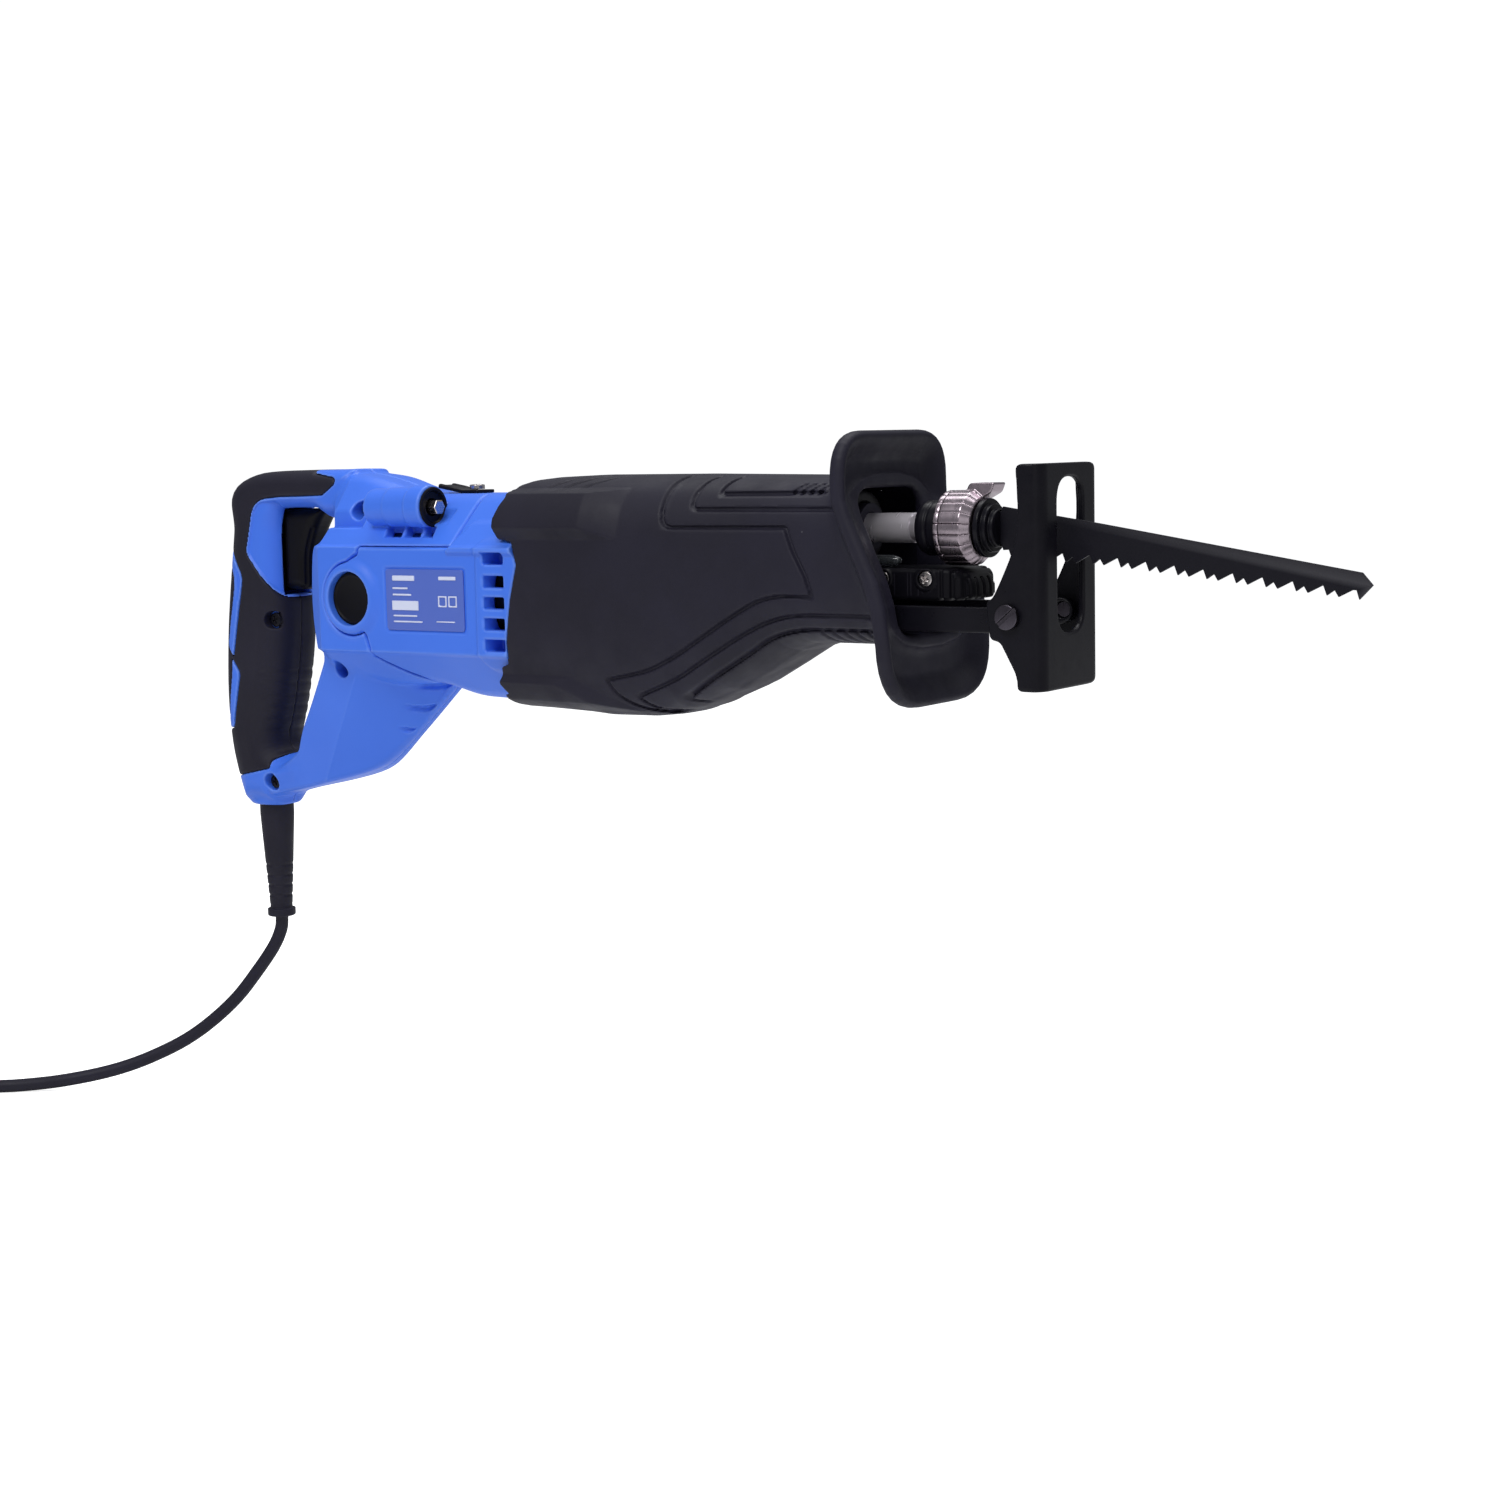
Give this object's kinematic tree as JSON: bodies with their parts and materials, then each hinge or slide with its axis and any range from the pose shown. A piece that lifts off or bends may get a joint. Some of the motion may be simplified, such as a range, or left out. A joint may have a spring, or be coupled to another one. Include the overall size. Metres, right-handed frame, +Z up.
{
  "type": "reciprocating saw",
  "caption": "Mains reciprocating saw with a rear D-handle, rubber front grip with hand guard, twist blade clamp, pivoting shoe, tapered blade and a coiled mains lead.",
  "frame": {"origin": "middle of the rear grip, where a hand holds the saw", "axes": "+X forward along the blade, +Y to the tool's left, +Z up"},
  "size_m": [0.7895, 0.1799, 0.311],
  "materials": {
    "blue_plastic": "satin moulded nylon",
    "soft_rubber": "fine matt grain",
    "black_plastic": "fine grain",
    "label_film": "printed film, left blank",
    "bright_steel": "ground",
    "nickel_steel": "knurled, nickel plated",
    "black_steel": "black oxide",
    "core_iron": "laminated",
    "copper": "enamelled copper",
    "brass": "drawn",
    "carbon": "pressed carbon",
    "cast_aluminium": "black painted die cast",
    "clear_lens": "clear"
  },
  "bodies": {
    "body": {"handle_shell_right": "blue_plastic", "handle_shell_left": "blue_plastic", "motor_housing": "blue_plastic", "grip_cover_right": "soft_rubber", "grip_cover_left": "soft_rubber", "front_boot": "soft_rubber", "strain_relief": "soft_rubber", "plunger_seal": "soft_rubber", "cord": "soft_rubber", "cord_coil": "soft_rubber", "cord_tie": "soft_rubber", "switch_body": "black_plastic", "brush_cap_right": "black_plastic", "brush_cap_left": "black_plastic", "nose_cover": "black_plastic", "plug": "black_plastic", "label_plate": "label_film", "rear_bearing": "bright_steel", "front_bearing": "bright_steel", "gear_axle": "bright_steel", "gear_bearing": "bright_steel", "case_screw": "bright_steel", "nose_screw_1": "bright_steel", "nose_screw_2": "bright_steel", "top_clip_screw": "bright_steel", "top_clip": "black_steel", "handle_screw_1": "black_steel", "handle_screw_2": "black_steel", "handle_screw_3": "black_steel", "handle_screw_4": "black_steel", "stator_core": "core_iron", "field_coil_upper": "copper", "field_coil_lower": "copper", "brush_holder_right": "brass", "brush_holder_left": "brass", "rear_bushing": "brass", "front_bushing": "brass", "carbon_brush_right": "carbon", "carbon_brush_left": "carbon", "gear_case": "cast_aluminium", "gear_case_lid": "cast_aluminium", "work_light": "clear_lens"},
    "armature": {"armature_shaft": "bright_steel", "armature_core": "core_iron", "commutator": "copper", "cooling_fan": "black_plastic"},
    "crank": {"crank_gear": "bright_steel", "crank_roller": "bright_steel"},
    "plunger": {"plunger": "bright_steel", "yoke": "bright_steel", "clamp_body": "black_steel", "clamp_nose": "black_plastic", "blade": "black_steel"},
    "clamp_ring": {"clamp_ring": "nickel_steel"},
    "shoe_bracket": {"shoe_bracket": "black_steel"},
    "shoe": {"shoe": "black_steel", "shoe_pivot_screw_right": "bright_steel", "shoe_pivot_screw_left": "bright_steel"},
    "trigger": {"trigger": "black_plastic"},
    "hex_key": {"hex_key": "bright_steel"}
  },
  "joints": [
    {"name": "armature_spin", "type": "hinge", "parent": "body", "child": "armature", "pos_m": [0.12, 0, 0.03], "axis": [1, 0, 0], "continuous": true},
    {"name": "crank_spin", "type": "hinge", "parent": "body", "child": "crank", "pos_m": [0.246, 0, 0.015], "axis": [0, 0, 1], "continuous": true},
    {"name": "plunger_slide", "type": "slide", "parent": "body", "child": "plunger", "axis": [1, 0, 0], "range_m": [-0.014, 0.014]},
    {"name": "clamp_twist", "type": "hinge", "parent": "plunger", "child": "clamp_ring", "pos_m": [0.383, 0, 0.06], "axis": [1, 0, 0], "range_deg": [0, 50], "stiffness_Nm_per_rad": 0.2, "springref_deg": -22.92},
    {"name": "shoe_slide", "type": "slide", "parent": "body", "child": "shoe_bracket", "axis": [1, 0, 0], "range_m": [0, 0.02]},
    {"name": "shoe_pivot", "type": "hinge", "parent": "shoe_bracket", "child": "shoe", "pos_m": [0.4164, 0, 0.0275], "axis": [0, 1, 0], "range_deg": [-8, 25]},
    {"name": "trigger_pull", "type": "slide", "parent": "body", "child": "trigger", "axis": [-1, 0, 0], "range_m": [0, 0.006], "stiffness_N_per_m": 900, "springref_m": -0.004},
    {"name": "key_draw", "type": "slide", "parent": "body", "child": "hex_key", "axis": [1, 0, 0], "range_m": [0, 0.025]}
  ],
  "couplings": [
    {"joint": "crank_spin", "follows": "armature_spin", "ratio": -0.25}
  ]
}
